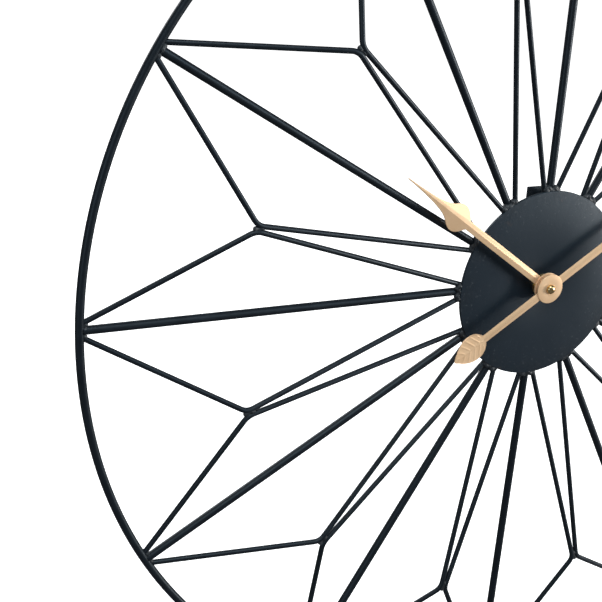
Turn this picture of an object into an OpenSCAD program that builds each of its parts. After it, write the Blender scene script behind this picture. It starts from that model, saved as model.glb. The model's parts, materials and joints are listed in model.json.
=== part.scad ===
// Sunburst wall clock: a wire sunburst of ring, spokes and bent rays, a steel hub disc,
// two folded hands, and a battery movement behind the disc.
// +Y points into the wall, the front faces -Y, +Z is twelve o'clock and +X is three o'clock.
// The origin is where the hands' axis meets the wall.

/* [Ring and rays] */
// Diameter over the outer ring
ring_od = 600; // [520:5:720]
// Diameter of the ring's rod and of the twelve straight spokes
rod_d = 5; // [4:0.1:6]
// Diameter of the twenty-four bent wires
wire_d = 3.3; // [2.6:0.1:4]
// Space between a spoke and the bent wire beside it
wire_gap = 0.2; // [0.1:0.05:2]
// Radius at which the bent wires reach their elbows
elbow_r = 212; // [180:1:240]
// How far the elbows stand in front of the ring
elbow_lift = 17.5; // [12:0.5:21]
// Radius of the bend at each elbow
elbow_bend = 9; // [6:0.5:12]
// Distance from the wall to the middle of the ring's rod
ring_stand_off = 11; // [7:0.5:13]

/* [Hub] */
// Diameter of the hub disc
disc_d = 121; // [100:1:145]
// Thickness of the hub disc
disc_t = 2; // [1.2:0.1:3]
// How far the rods run in behind the disc's edge
hub_lap = 9; // [6:0.5:12]
// How far the bent wires run in behind the disc's edge
wire_lap = 1.4; // [1:0.1:6]
// Depth of the flat where a rod lies against the disc
lap_flat = 0.3; // [0.2:0.05:0.5]

/* [Hanger] */
// Height of the hanger's top edge above the hands' axis
hanger_top = 59; // [56:0.5:64]
// Width of the hanger strip
hanger_w = 12; // [11:0.5:14]
// Thickness of the hanger strip
hanger_t = 1.5; // [1:0.1:2]
// Diameter of the keyhole's round opening
keyhole_d = 8; // [6:0.5:8.5]
// Width of the keyhole's slot
keyslot_w = 4.4; // [3:0.2:4.8]

/* [Hands] */
// Hour that the hands show
shown_hour = 10; // [0:1:11]
// Minute that the hands show
shown_minute = 9.6; // [0:0.2:59.8]
// Length of the hour hand from axis to tip
hour_tip = 134; // [110:1:150]
// Length of the minute hand from axis to tip
minute_tip = 172; // [145:1:178]
// Length of the minute hand's tail
minute_tail = 77.6; // [60:0.2:90]
// Length of each spade head
head_len = 55; // [45:1:66]
// Width of each spade head
head_w = 17.5; // [14:0.5:21]
// Width of the tail's drop
tail_w = 18; // [14:0.5:21]
// Width of each hand's stem
stem_w = 5.8; // [4.6:0.2:7]
// Diameter of the boss of each hand
boss_d = 19; // [15:0.5:23]
// Thickness of the hands' sheet
hand_t = 0.5; // [0.4:0.05:0.6]
// Angle by which each half of a hand folds back from its ridge
fold = 12; // [8:1:14]

/* [Movement] */
// Width and height of the movement case
case_w = 56; // [56:1:64]
// Depth of the movement case
case_d = 16; // [16:0.5:18]
// Thickness of the case's side walls
case_wall = 1; // [0.8:0.1:1.4]
// Outside diameter of the threaded bush
bush_d = 8; // [7.6:0.1:9]
// Outside diameter of the hour pipe
pipe_d = 5; // [4.6:0.1:5.4]
// Diameter of the minute arbor
arbor_d = 3; // [2.6:0.1:3.4]
// Diameter of the seconds arbor
seconds_d = 1.1; // [0.9:0.1:1.4]
// Radial clearance of every turning shaft in its bore
running = 0.05; // [0.03:0.01:0.08]
// Distance from the hands' axis to the setting stem
motion_centre = 11; // [10.8:0.1:11.4]
// Diameter of the setting knob
knob_d = 12; // [9:0.5:12.5]

/* [Battery] */
// Diameter of the battery
battery_d = 14.5; // [13.5:0.1:14.5]
// Length of the battery over its nub
battery_l = 50.5; // [49.2:0.1:50.5]

/* [Hidden] */
$fn = 64;

// Finishes
black_steel = [0.16, 0.18, 0.2];
rose_gold = [0.87, 0.72, 0.56];
brass = [0.75, 0.6, 0.35];
white_plastic = [0.9, 0.89, 0.85];
dark_plastic = [0.12, 0.12, 0.13];
steel = [0.6, 0.6, 0.62];

// Ring and rays
ring_r = (ring_od - rod_d) / 2;          // middle of the ring's rod
ring_y = -ring_stand_off;
side_step = rod_d / 2 + wire_gap + wire_d / 2;
joint_bite = 0.8;                         // how far a spoke's end is coped over the ring
pair_gap = 0.05;                          // space between the two wires of a pair
bend_swell = 0.03;                        // how much fuller a bend's radius is than its wire's
bend_seat = 0.3;                          // how far a leg's end runs into the bend

// Stack on the hands' axis, from the case to the hands
case_front = -case_d;
collar_t = 1;                             // the bush's collar, and the gasket round it
disc_back = case_front - collar_t;
disc_front = disc_back - disc_t;
washer_t = 0.8;
nut_t = 2.5;
nut_front = disc_front - washer_t - nut_t;
bush_front = nut_front - 0.7;
hour_y = bush_front - 2.2;                // ridge of the hour hand
hand_step = 3;                            // from the hour hand's ridge to the minute hand's
minute_y = hour_y - hand_step;
boss_t = 1.15;
boss_rise = 0.25;                         // how far a boss stands in front of its ridge
collet_t = 0.7;
cap_h = 2.95;
cap_d = 6;
thread_front = minute_y - 1.7;
disc_hole_d = bush_d + 0.3;
collar_d = bush_d + 2.6;

// Hands
minute_turn = 6 * shown_minute;
hour_turn = 30 * shown_hour + shown_minute / 2;
neck_w = 5.2;
neck_r = 53.6;

// Movement case
front_wall = 1.5;
bay_front_wall = 1;
cover_t = 1.2;
room_front = case_front + front_wall;     // inner face of the gear room's front wall
battery_y = -battery_d / 2 - 0.4;
bay_top = -case_w / 2 + case_wall + battery_d + 0.3;
partition_t = 1;
battery_z = (-case_w / 2 + case_wall + bay_top) / 2;
half_in = case_w / 2 - case_wall;
room_low = bay_top + partition_t;

// Gear train: module, teeth and places
pressure = 25;                            // pressure angle
addendum = 0.85;
dedendum = 1.2;
gear_play = 0.05;                         // thinning of each tooth at the pitch circle
cannon_teeth = 12;
minute_teeth = 36;
pinion_teeth = 12;
hour_teeth = 48;
cannon_module = 2 * motion_centre / (cannon_teeth + minute_teeth);
hour_module = 2 * motion_centre / (pinion_teeth + hour_teeth);
train_pinion = 10;
third_teeth = 75;
centre_teeth = 80;
seconds_teeth = 60;
inter_teeth = 50;
third_module = motion_centre / 44;        // keeps the third arbor outside the hour wheel
third_centre = third_module * (third_teeth + train_pinion) / 2;
centre_module = 2 * third_centre / (centre_teeth + train_pinion);
fast_module = 0.2;
inter_centre = fast_module * (seconds_teeth + train_pinion) / 2;
rotor_centre = fast_module * (inter_teeth + train_pinion) / 2;
third_dir = 150;                          // directions seen from the front, from +X towards +Z
inter_dir = 45;
rotor_dir = 90;
third_at = third_centre * [cos(third_dir), sin(third_dir)];
inter_at = inter_centre * [cos(inter_dir), sin(inter_dir)];
rotor_at = inter_at + rotor_centre * [cos(rotor_dir), sin(rotor_dir)];
stem_at = [motion_centre, 0];
stem_d = 2;
third_arbor_d = 0.8;
fine_arbor_d = 0.8;
rotor_arbor_d = 0.6;

// Levels behind the gear room's front wall
hour_wheel_y = [room_front + 0.2, room_front + 1.1];
hour_pinion_y = [room_front + 0.2, room_front + 1.3];
minute_wheel_y = [room_front + 1.4, room_front + 2.2];
cannon_y = [room_front + 1.3, room_front + 2.3];
centre_wheel_y = [room_front + 2.7, room_front + 3.3];
third_pinion_y = [room_front + 2.5, room_front + 3.7];
third_wheel_y = [room_front + 3.9, room_front + 4.5];
seconds_pinion_y = [room_front + 3.7, room_front + 4.7];
plate_y = [room_front + 5, room_front + 5.8];
seconds_wheel_y = [room_front + 6.2, room_front + 6.8];
inter_pinion_y = [room_front + 6, room_front + 7.2];
inter_wheel_y = [room_front + 7.4, room_front + 8];
rotor_pinion_y = [room_front + 7.2, room_front + 8.2];
magnet_y = [room_front + 8.4, room_front + 10];
stator_y = [room_front + 8.7, room_front + 9.7];
bridge_y = [room_front + 10.5, room_front + 11.5];
knob_y = [-2.4, -0.4];
pivot_depth = 0.7;                        // how far an arbor's end runs into its bearing
magnet_d = 5.2;
rotor_hole_d = 6;

// Coil and electronics
coil_z = half_in - 6;
coil_x = [-10.5, 12];
coil_y = stator_y[0] - 0.5;               // middle of the core strip
core_w = 3;
core_t = 1;
bobbin_d = 4.4;
winding_d = 8;
flange_d = 8.6;
flange_t = 0.8;
arm_w = 3;
arm_x = [coil_x[0] - 4, coil_x[1] + 1];   // left edges of the stator's two arms
board_z = [8, 24];
board_t = 0.8;
crystal_d = 2;
post_d = 2.6;
post_x = half_in - 3;
post_z = [room_low + 2.7, 13.5];
board_x = [coil_x[1] + 0.6, post_x - post_d / 2 - 0.3];
plate_x = half_in - 0.5;
plate_z = [room_low + 0.3, 16];

function unit(v) = v / norm(v);

// A place at radius r, side step s from the twelve o'clock line, and depth y.
function at(r, s, y) = [s, y, sqrt(r * r - s * s)];
function turned(p, angle) =
    [p[0] * cos(angle) + p[2] * sin(angle), p[1], p[2] * cos(angle) - p[0] * sin(angle)];

// Points of one cubic curve after its first point.
function curve(a, b, c, d, steps = 8) =
    [for (i = [1:steps]) let (t = i / steps, s = 1 - t)
        s * s * s * a + 3 * s * s * t * b + 3 * s * t * t * c + t * t * t * d];

// Half widths and distances of a spade head's right side, from its tip down to the stem.
function spade_side(tip) = let (
    u = head_w / 2,
    v = head_len,
    base = tip - head_len,
    p = function (across, along) [across * u, base + along * v])
    concat(
        [p(0.04, 1)],
        curve(p(0.04, 1), p(0.11, 0.69), p(0.22, 0.47), p(0.49, 0.35)),
        curve(p(0.49, 0.35), p(0.7, 0.27), p(1, 0.23), p(1, 0.158), 6),
        curve(p(1, 0.158), p(1, 0.09), p(0.75, 0.06), [stem_w / 2, base], 6));

// Right side of the tail's drop, from its neck to its point, with distances taken downwards.
function drop_side() = let (
    u = tail_w / 2,
    v = minute_tail - neck_r,
    p = function (across, along) [across * u, -neck_r - along * v])
    concat(
        [[neck_w / 2, -neck_r]],
        curve([neck_w / 2, -neck_r], p(0.62, 0.06), p(1, 0.16), p(1, 0.38)),
        curve(p(1, 0.38), p(1, 0.62), p(0.6, 0.84), p(0.02, 1)));

// The whole outline from its right side, which runs from top to bottom.
function both_sides(right) =
    concat(right, [for (i = [len(right) - 1:-1:0]) [-right[i][0], right[i][1]]]);

// Involute gear outline; the middle of tooth 0 points along `turn`.
function inv(a) = tan(a) - a * PI / 180;
function half_tooth(r, pitch_r, teeth) = let (
    base_r = pitch_r * cos(pressure),
    here = r > base_r ? acos(base_r / r) : 0)
    90 / teeth - gear_play / 2 / pitch_r * 180 / PI + (inv(pressure) - inv(here)) * 180 / PI;
function gear_points(teeth, m, turn) = let (
    pitch_r = m * teeth / 2,
    radii = [pitch_r - dedendum * m, pitch_r - 0.1 * m, pitch_r + addendum * m])
    [for (i = [0:teeth - 1], side = [-1, 1], k = side < 0 ? [0, 1, 2] : [2, 1, 0])
        let (a = turn + 360 * i / teeth + side * half_tooth(radii[k], pitch_r, teeth))
            radii[k] * [cos(a), sin(a)]];
// Turn of a gear that meshes with another, whose direction to it is `dir`.
function mesh_turn(teeth_a, turn_a, teeth_b, dir) =
    dir + 180 + 360 / teeth_b * (0.5 - (turn_a - dir) * teeth_a / 360);

seconds_turn = 0;
third_turn = mesh_turn(train_pinion, seconds_turn, third_teeth, third_dir);
centre_turn = mesh_turn(train_pinion, third_turn, centre_teeth, third_dir + 180);
inter_turn = mesh_turn(seconds_teeth, seconds_turn, train_pinion, inter_dir);
rotor_turn = mesh_turn(inter_teeth, inter_turn, train_pinion, rotor_dir);
motion_turn = mesh_turn(cannon_teeth, 0, minute_teeth, 0);
hour_wheel_turn = mesh_turn(pinion_teeth, motion_turn, hour_teeth, 180);

// Flat shapes drawn as seen from the front, given depth between two levels.
module slab(levels) {
    translate([0, levels[1], 0]) rotate([90, 0, 0])
        linear_extrude(levels[1] - levels[0]) children();
}

// A round pin or bore along Y at a place seen from the front.
module pin(d, levels, place = [0, 0]) {
    translate([place[0], levels[1], place[1]]) rotate([90, 0, 0])
        cylinder(d = d, h = levels[1] - levels[0]);
}

// A block between two corners.
module block(low, high) {
    translate(low) cube(high - low);
}

module gear(teeth, m, turn, levels, place = [0, 0]) {
    slab(levels) translate(place) polygon(gear_points(teeth, m, turn));
}

module outer_ring() {
    color(black_steel) translate([0, ring_y, 0]) rotate([90, 0, 0])
        rotate_extrude() translate([ring_r, 0]) circle(d = rod_d);
}

// What the rods are cut against: the ring at one end, the disc's back at the other.
module seats() {
    outer_ring();
    pin(disc_d, [disc_front - 5, disc_back]);
}

module spoke(i) {
    // the axis leaves the disc's edge with the rod pressed lap_flat into the disc's back
    rim_y = disc_back + rod_d / 2 - lap_flat;
    slope = (ring_y - rim_y) / (ring_r - disc_d / 2);
    inner_r = disc_d / 2 - hub_lap;
    outer_r = ring_r - rod_d / 2 + joint_bite;
    start = [0, rim_y - slope * hub_lap, inner_r];
    color(black_steel) rotate([0, 30 * i, 0]) difference() {
        translate(start) rotate([-atan(slope), 0, 0])
            cylinder(d = rod_d, h = (outer_r - inner_r) / cos(atan(slope)));
        seats();
    }
}

// A wire of radius r along the legs a-b and b-c, with a true bend at b. The bend is a little
// fuller than the legs, whose ends run into it.
module bent_wire(a, b, c, r, bend) {
    u = unit(b - a);
    v = unit(c - b);
    w = unit(cross(u, v));
    turn = acos(u * v);
    inset = bend * tan(turn / 2);
    start = b - u * inset;
    centre = start + cross(w, u) * bend;
    x = unit(start - centre);
    frame = [[x[0], u[0], w[0], centre[0]],
             [x[1], u[1], w[1], centre[1]],
             [x[2], u[2], w[2], centre[2]],
             [0, 0, 0, 1]];
    multmatrix(frame) {
        rotate_extrude(angle = turn) translate([bend, 0]) circle(r = r + bend_swell);
        translate([bend, bend_seat, 0]) rotate([90, 0, 0])
            cylinder(r = r, h = norm(start - a) + bend_seat);
        rotate([0, 0, turn]) translate([bend, -bend_seat, 0]) rotate([-90, 0, 0])
            cylinder(r = r, h = norm(c - b) - inset + bend_seat);
    }
}

// The two wires between spoke i and the next, which meet at the elbow midway.
module ray_wires(i) {
    rim_y = disc_back + wire_d / 2 - lap_flat;
    elbow_y = ring_y - elbow_lift;
    slope = (elbow_y - rim_y) / (elbow_r - disc_d / 2);
    hub_end = at(disc_d / 2 - wire_lap, side_step, rim_y - slope * wire_lap);
    low = turned(hub_end, -15);
    high = turned(at(ring_r, side_step, ring_y), -15);
    elbow = at(elbow_r, -(wire_d + pair_gap) / 2 - bend_swell, elbow_y);
    // the bend cuts its corner, so the corner stands closer to the middle line than the wire does
    u = unit(elbow - low);
    w = unit(cross(u, unit(high - elbow)));
    inset = elbow_bend * tan(acos(u * unit(high - elbow)) / 2);
    bulge = elbow_bend * (cross(w, u)[0] + sqrt(1 - w[0] * w[0])) - u[0] * inset;
    corner = elbow - [bulge, 0, 0];
    color(black_steel) rotate([0, 30 * i + 15, 0]) for (side = [0, 1]) mirror([side, 0, 0])
        difference() {
            bent_wire(low, corner, high, wire_d / 2, elbow_bend);
            rotate([0, -15, 0]) seats();
        }
}

module hub_disc() {
    edge = 0.4;
    r = disc_d / 2;
    color(black_steel) translate([0, disc_back, 0]) rotate([90, 0, 0]) rotate_extrude()
        polygon([[disc_hole_d / 2, 0], [r - edge, 0], [r, edge], [r, disc_t - edge],
                 [r - edge, disc_t], [disc_hole_d / 2, disc_t]]);
}

module hanger_bracket() {
    foot = [case_w / 2 + 2, case_w / 2 + 14];
    half = hanger_w / 2;
    key_z = hanger_top - 11;
    color(black_steel) difference() {
        union() {
            block([-half, disc_back, foot[0]], [half, disc_back + hanger_t, foot[1]]);
            block([-half, disc_back, foot[0]], [half, 0, foot[0] + hanger_t]);
            block([-half, -hanger_t, foot[0]], [half, 0, hanger_top]);
        }
        pin(keyhole_d, [-hanger_t - 1, 1], [0, key_z]);
        block([-keyslot_w / 2, -hanger_t - 1, key_z], [keyslot_w / 2, 1, key_z + 5.6]);
    }
}

module rubber_gasket() {
    color(dark_plastic) difference() {
        pin(36, [disc_back, case_front]);
        pin(collar_d, [disc_back - 1, case_front + 1]);
    }
}

module fixing_washer() {
    color(brass) difference() {
        pin(bush_d + 6, [disc_front - washer_t, disc_front]);
        pin(disc_hole_d, [disc_front - washer_t - 1, disc_front + 1]);
    }
}

module fixing_nut() {
    color(brass) difference() {
        slab([nut_front, nut_front + nut_t]) circle(d = (bush_d + 3) / cos(30), $fn = 6);
        pin(bush_d, [nut_front - 1, nut_front + nut_t + 1]);
    }
}

module threaded_bush() {
    color(brass) difference() {
        union() {
            pin(bush_d, [bush_front, room_front]);
            pin(collar_d, [disc_back, case_front]);
        }
        pin(pipe_d + 2 * running, [bush_front - 1, room_front + 1]);
    }
}

// A square outline with its corners cut.
module cut_square(half, cut) {
    polygon([for (k = [0:3]) for (p = [[half, -half + cut], [half, half - cut]])
        [p[0] * cos(90 * k) - p[1] * sin(90 * k), p[0] * sin(90 * k) + p[1] * cos(90 * k)]]);
}

module movement_case() {
    half = case_w / 2;
    color(dark_plastic) difference() {
        slab([case_front, 0]) cut_square(half, 2);
        // seat for the cover
        block([-half - 1, -cover_t, bay_top], [half + 1, 1, half + 1]);
        // gear room
        block([-half_in, room_front, room_low], [half_in, 1, half_in]);
        // battery bay
        block([-half_in, case_front + bay_front_wall, -half_in], [half_in, 1, bay_top]);
        pin(bush_d, [case_front - 1, room_front + 1]);
        // front bearings of the stem and of the third wheel
        pin(stem_d + 2 * running, [room_front - pivot_depth, room_front + 1], stem_at);
        pin(third_arbor_d + 2 * running, [room_front - pivot_depth, room_front + 1], third_at);
    }
}

module movement_cover() {
    half = case_w / 2;
    color(dark_plastic) difference() {
        intersection() {
            slab([-cover_t, 0]) cut_square(half, 2);
            block([-half, -cover_t, bay_top], [half, 0, half]);
        }
        pin(knob_d + 1, [-cover_t - 1, 1], stem_at);
    }
}

// The bores that a plate holds for the train's arbors.
module train_bores(levels, arbors) {
    for (a = arbors) pin(a[0] + 2 * running, levels, a[1]);
}

module mid_plate() {
    reach = [plate_y[0] - 1, plate_y[1] + 1];
    color(white_plastic) difference() {
        union() {
            block([-plate_x, plate_y[0], plate_z[0]], [plate_x, plate_y[1], plate_z[1]]);
            for (x = [-post_x, post_x], z = post_z) pin(post_d, [room_front, plate_y[0]], [x, z]);
        }
        train_bores(reach, [[seconds_d, [0, 0]], [third_arbor_d, third_at], [stem_d, stem_at],
                            [fine_arbor_d, inter_at], [rotor_arbor_d, rotor_at]]);
    }
}

module gear_bridge() {
    reach = [bridge_y[0] - 1, bridge_y[1] + 1];
    color(white_plastic) difference() {
        union() {
            block([-plate_x, bridge_y[0], plate_z[0]], [plate_x, bridge_y[1], plate_z[1]]);
            for (x = [-post_x, post_x], z = post_z) pin(post_d, [plate_y[1], bridge_y[0]], [x, z]);
            for (x = arm_x) pin(arm_w, [stator_y[1], bridge_y[0]], [x + arm_w / 2, rotor_at[1]]);
        }
        train_bores(reach, [[seconds_d, [0, 0]], [stem_d, stem_at], [fine_arbor_d, inter_at],
                            [rotor_arbor_d, rotor_at]]);
    }
}

module stator() {
    bar_z = [rotor_at[1] - 3.6, rotor_at[1] + 3.6];
    color(steel) difference() {
        union() {
            block([arm_x[0], stator_y[0], bar_z[0]], [arm_x[1] + arm_w, stator_y[1], bar_z[1]]);
            for (x = arm_x)
                block([x, stator_y[0], bar_z[0]], [x + arm_w, stator_y[1], coil_z + core_w / 2]);
        }
        pin(rotor_hole_d, [stator_y[0] - 1, stator_y[1] + 1], rotor_at);
    }
}

module core_strip(from, to) {
    block([from, coil_y - core_t / 2, coil_z - core_w / 2],
          [to, coil_y + core_t / 2, coil_z + core_w / 2]);
}

module coil_core() {
    color(steel) core_strip(arm_x[0], arm_x[1] + arm_w);
}

// A round piece along X on the coil's axis.
module on_coil(d, from, to) {
    translate([from, coil_y, coil_z]) rotate([0, 90, 0]) cylinder(d = d, h = to - from);
}

module coil_bobbin() {
    color(white_plastic) difference() {
        union() {
            on_coil(bobbin_d, coil_x[0], coil_x[1]);
            on_coil(flange_d, coil_x[0], coil_x[0] + flange_t);
            on_coil(flange_d, coil_x[1] - flange_t, coil_x[1]);
        }
        core_strip(coil_x[0] - 1, coil_x[1] + 1);
    }
}

module coil_winding() {
    color("sienna") difference() {
        on_coil(winding_d, coil_x[0] + flange_t, coil_x[1] - flange_t);
        on_coil(bobbin_d, coil_x[0], coil_x[1]);
    }
}

module circuit_board() {
    color("darkgreen")
        block([board_x[0], plate_y[1], board_z[0]], [board_x[1], plate_y[1] + board_t, board_z[1]]);
}

module quartz_crystal() {
    color(steel) translate([board_x[1] - 3, plate_y[1] + board_t + crystal_d / 2, board_z[0] + 4])
        cylinder(d = crystal_d, h = 6);
}

module battery_contact_positive() {
    tip = battery_l / 2 + running;
    color(steel) union() {
        block([half_in - 0.4, battery_y - 4, battery_z - 4], [half_in, battery_y + 4, battery_z + 4]);
        translate([tip, battery_y, battery_z]) rotate([0, 90, 0]) cylinder(d = 5, h = half_in - tip);
    }
}

module battery_contact_negative() {
    tip = -battery_l / 2 - running;
    color(steel) union() {
        block([-half_in, battery_y - 4, battery_z - 4],
              [-half_in + 0.4, battery_y + 4, battery_z + 4]);
        translate([-half_in, battery_y, battery_z]) rotate([0, 90, 0])
            cylinder(d1 = 7, d2 = 5, h = tip + half_in);
    }
}

// A sheet folded along the hand's middle line, with its ridge at depth y.
module folded_sheet(y, reach) {
    w = 25;
    back = w * tan(fold);
    translate([0, 0, -reach]) linear_extrude(2 * reach)
        polygon([[0, y], [w, y + back], [w, y + back + hand_t], [0, y + hand_t],
                 [-w, y + back + hand_t], [-w, y + back]]);
}

module hand(y, outline, bore, collet) {
    reach = hour_tip + minute_tip;
    color(rose_gold) difference() {
        union() {
            intersection() {
                folded_sheet(y, reach);
                slab([y - 1, y + 8]) polygon(outline);
            }
            pin(boss_d, [y - boss_rise, y - boss_rise + boss_t]);
            pin(collet, [y, y - boss_rise + boss_t + collet_t]);
        }
        pin(bore, [y - 10, y + 10]);
    }
}

module minute_hand() {
    outline = both_sides(concat(spade_side(minute_tip), [[stem_w / 2, 0]], drop_side()));
    rotate([0, minute_turn, 0]) hand(minute_y, outline, arbor_d, arbor_d + 3);
}

module hour_hand() {
    outline = both_sides(concat(spade_side(hour_tip), [[stem_w / 2, 0]]));
    rotate([0, hour_turn, 0]) hand(hour_y, outline, pipe_d, pipe_d + 2.2);
}

module cap_nut() {
    seat = minute_y - boss_rise;
    dome_r = cap_d * 0.6;
    color(brass) difference() {
        intersection() {
            pin(cap_d, [seat - cap_h - 1, seat]);
            translate([0, seat - cap_h + dome_r, 0]) sphere(r = dome_r);
        }
        pin(arbor_d, [thread_front, seat + 1]);
    }
}

module minute_arbor() {
    color(steel) difference() {
        union() {
            pin(arbor_d, [thread_front, room_front + 3.5]);
            gear(cannon_teeth, cannon_module, 0, cannon_y);
        }
        pin(seconds_d + 2 * running, [room_front + 1.3, room_front + 4]);
    }
}

module hour_wheel() {
    color(brass) difference() {
        union() {
            pin(pipe_d, [hour_y - boss_rise, hour_wheel_y[1]]);
            gear(hour_teeth, hour_module, hour_wheel_turn, hour_wheel_y);
        }
        pin(arbor_d + 2 * running, [hour_y - 2, hour_wheel_y[1] + 1]);
    }
}

module minute_wheel() {
    color(white_plastic) difference() {
        union() {
            gear(pinion_teeth, hour_module, motion_turn, hour_pinion_y, stem_at);
            pin(3.4, [hour_pinion_y[1], minute_wheel_y[0]], stem_at);
            gear(minute_teeth, cannon_module, motion_turn, minute_wheel_y, stem_at);
        }
        pin(stem_d, [room_front, room_front + 4], stem_at);
    }
}

module setting_knob() {
    grip = 24;
    color(dark_plastic) union() {
        pin(stem_d, [room_front - pivot_depth + 0.1, knob_y[0]], stem_at);
        slab(knob_y) translate(stem_at) polygon([for (i = [0:2 * grip - 1])
            (knob_d / 2 - (i % 2 == 0 ? 0 : 0.4)) * [cos(180 * i / grip), sin(180 * i / grip)]]);
    }
}

module centre_wheel() {
    color(brass) difference() {
        gear(centre_teeth, centre_module, centre_turn, centre_wheel_y);
        pin(arbor_d + 2 * running, [centre_wheel_y[0] - 1, centre_wheel_y[1] + 1]);
    }
}

module third_wheel() {
    color(white_plastic) union() {
        pin(third_arbor_d, [room_front - pivot_depth + 0.1, plate_y[0] + pivot_depth], third_at);
        gear(train_pinion, centre_module, third_turn, third_pinion_y, third_at);
        pin(1.6, [third_pinion_y[1], third_wheel_y[0]], third_at);
        gear(third_teeth, third_module, third_turn, third_wheel_y, third_at);
    }
}

module seconds_wheel() {
    color(white_plastic) union() {
        pin(seconds_d, [room_front + 1.5, bridge_y[0] + pivot_depth]);
        gear(train_pinion, third_module, seconds_turn, seconds_pinion_y);
        gear(seconds_teeth, fast_module, seconds_turn, seconds_wheel_y);
    }
}

module intermediate_wheel() {
    color(white_plastic) union() {
        pin(fine_arbor_d, [plate_y[1] - pivot_depth, bridge_y[0] + pivot_depth], inter_at);
        gear(train_pinion, fast_module, inter_turn, inter_pinion_y, inter_at);
        pin(1.3, [inter_pinion_y[1], inter_wheel_y[0]], inter_at);
        gear(inter_teeth, fast_module, inter_turn, inter_wheel_y, inter_at);
    }
}

module rotor() {
    color(steel) union() {
        pin(rotor_arbor_d, [plate_y[1] - pivot_depth, bridge_y[0] + pivot_depth], rotor_at);
        gear(train_pinion, fast_module, rotor_turn, rotor_pinion_y, rotor_at);
        pin(1.2, [rotor_pinion_y[1], magnet_y[0]], rotor_at);
        pin(magnet_d, magnet_y, rotor_at);
    }
}

module battery() {
    nub = 1;
    color("goldenrod") translate([-battery_l / 2, battery_y, battery_z]) rotate([0, 90, 0]) union() {
        cylinder(d = battery_d, h = battery_l - nub);
        cylinder(d = 5.5, h = battery_l);
    }
}

outer_ring();
for (i = [1:12]) spoke(i);
for (i = [1:12]) ray_wires(i);
hub_disc();
hanger_bracket();
rubber_gasket();
fixing_washer();
fixing_nut();
threaded_bush();
movement_case();
movement_cover();
mid_plate();
gear_bridge();
stator();
coil_core();
coil_bobbin();
coil_winding();
circuit_board();
quartz_crystal();
battery_contact_positive();
battery_contact_negative();
minute_hand();
cap_nut();
minute_arbor();
hour_hand();
hour_wheel();
minute_wheel();
setting_knob();
centre_wheel();
third_wheel();
seconds_wheel();
intermediate_wheel();
rotor();
battery();
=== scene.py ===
# %% [markdown]
# # A sunburst wall clock
# The real clock is a wire frame: a ring, twelve thick spokes and twelve pairs of thin bent
# wires, all welded to a small steel disc and lacquered black. Two folded, champagne-gold
# hands turn in front of the disc, and a battery movement hangs behind it.
# The working model comes first. It gives every place and size, so that each piece made here
# is put where the frame says and rides on the body that it moves with.

# %% Load the working model
import bpy
import json
import math
import random
from mathutils import Matrix, Quaternion, Vector

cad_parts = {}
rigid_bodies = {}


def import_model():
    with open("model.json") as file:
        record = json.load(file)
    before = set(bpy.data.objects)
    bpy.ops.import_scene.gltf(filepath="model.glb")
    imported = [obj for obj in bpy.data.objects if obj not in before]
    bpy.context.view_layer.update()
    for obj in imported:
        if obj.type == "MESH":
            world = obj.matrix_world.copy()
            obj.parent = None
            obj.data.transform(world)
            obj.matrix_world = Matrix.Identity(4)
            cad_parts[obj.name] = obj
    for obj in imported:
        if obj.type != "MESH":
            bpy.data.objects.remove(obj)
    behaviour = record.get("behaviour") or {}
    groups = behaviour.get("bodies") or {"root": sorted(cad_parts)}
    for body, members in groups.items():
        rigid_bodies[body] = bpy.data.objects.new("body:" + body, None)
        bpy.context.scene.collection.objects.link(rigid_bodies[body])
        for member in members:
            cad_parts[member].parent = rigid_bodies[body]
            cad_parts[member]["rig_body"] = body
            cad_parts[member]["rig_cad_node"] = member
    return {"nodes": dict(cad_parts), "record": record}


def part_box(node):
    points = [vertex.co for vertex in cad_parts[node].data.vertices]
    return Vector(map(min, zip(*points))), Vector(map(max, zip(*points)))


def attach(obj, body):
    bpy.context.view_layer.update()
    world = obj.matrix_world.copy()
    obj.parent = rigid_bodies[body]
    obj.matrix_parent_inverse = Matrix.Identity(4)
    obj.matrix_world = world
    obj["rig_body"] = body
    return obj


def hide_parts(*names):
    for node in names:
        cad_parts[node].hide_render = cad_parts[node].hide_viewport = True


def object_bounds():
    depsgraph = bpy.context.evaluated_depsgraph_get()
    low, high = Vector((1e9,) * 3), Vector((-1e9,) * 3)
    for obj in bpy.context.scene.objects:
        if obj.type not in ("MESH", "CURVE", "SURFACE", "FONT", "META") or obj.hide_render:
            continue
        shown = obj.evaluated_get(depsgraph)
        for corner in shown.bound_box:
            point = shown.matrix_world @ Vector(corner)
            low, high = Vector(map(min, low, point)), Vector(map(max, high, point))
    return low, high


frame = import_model()
cad_low, cad_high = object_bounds()
MM = 0.001
print("the model spans", [round(v, 4) for v in cad_high - cad_low], "metres")

# %% [markdown]
# ## The camera
# The clock is seen from its left, from a little above and quite close, so that it runs out
# of the picture at the top, right and bottom. A camera can be aimed with a Track To
# constraint, but plain angles are easier to read: where it stands, which way it looks, and
# how much it leans.

# %% Place the camera
camera_at = Vector((-0.4752, -0.5965, 0.2425))
camera_heading = math.radians(27.83)      # turned from +Y towards +X
camera_pitch = math.radians(-19.87)
camera_lean = math.radians(3.91)
look = Vector((math.sin(camera_heading) * math.cos(camera_pitch),
               math.cos(camera_heading) * math.cos(camera_pitch),
               math.sin(camera_pitch)))
camera_data = bpy.data.cameras.new("camera")
camera_data.sensor_width = 36
camera_data.lens = 73.0
camera = bpy.data.objects.new("camera", camera_data)
bpy.context.scene.collection.objects.link(camera)
camera.rotation_mode = "QUATERNION"
camera.location = camera_at
camera.rotation_quaternion = Quaternion(look, -camera_lean) @ look.to_track_quat("-Z", "Y")
bpy.context.scene.camera = camera
print("the camera stands", round(camera_at.length, 3), "metres from the hands' axis")

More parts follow.
